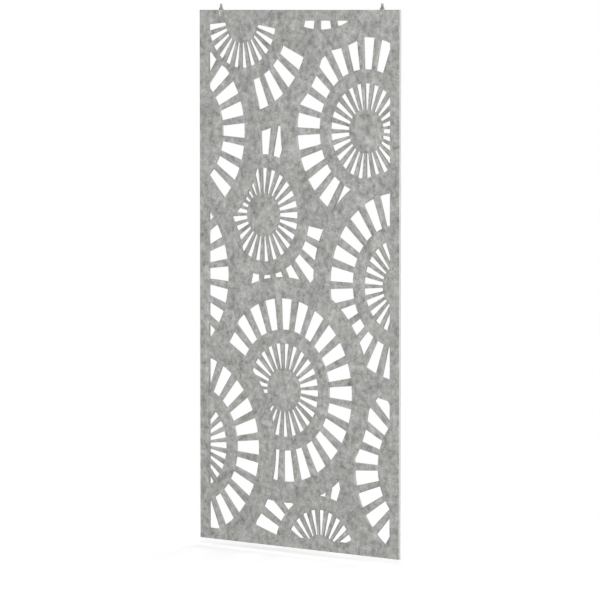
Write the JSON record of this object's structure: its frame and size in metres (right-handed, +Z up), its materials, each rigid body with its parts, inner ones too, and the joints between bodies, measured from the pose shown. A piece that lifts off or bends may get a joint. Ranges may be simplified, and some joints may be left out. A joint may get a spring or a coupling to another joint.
{
  "type": "hanging acoustic panel",
  "caption": "Tall felt acoustic panel with a cut-out ornament of overlapping slotted wheels, hung from swinging steel eye lugs clamped on its top edge.",
  "frame": {"origin": "midway between the centres of the two hanging eyes, on the board's middle plane", "axes": "+Z up, +X to the right seen from the front, -Y out of the front face"},
  "size_m": [1.2, 0.0186, 2.428],
  "materials": {
    "felt": "matt heather-grey pressed felt",
    "saddle_steel": "satin zinc plate",
    "lug_steel": "dull grey phosphate coat",
    "fastener_steel": "bright zinc plate"
  },
  "bodies": {
    "panel": {"felt_panel": "felt", "left_saddle": "saddle_steel", "left_hinge_pin": "fastener_steel", "left_barrel_nut": "fastener_steel", "left_clamp_screw": "fastener_steel", "right_saddle": "saddle_steel", "right_hinge_pin": "fastener_steel", "right_barrel_nut": "fastener_steel", "right_clamp_screw": "fastener_steel"},
    "left_lug": {"left_eye_lug": "lug_steel"},
    "right_lug": {"right_eye_lug": "lug_steel"}
  },
  "joints": [
    {"name": "left_lug_swing", "type": "hinge", "parent": "panel", "child": "left_lug", "pos_m": [-0.483, 0, -0.016], "axis": [1, 0, 0], "range_deg": [-100, 100]},
    {"name": "right_lug_swing", "type": "hinge", "parent": "panel", "child": "right_lug", "pos_m": [0.483, 0, -0.016], "axis": [1, 0, 0], "range_deg": [-100, 100]}
  ]
}
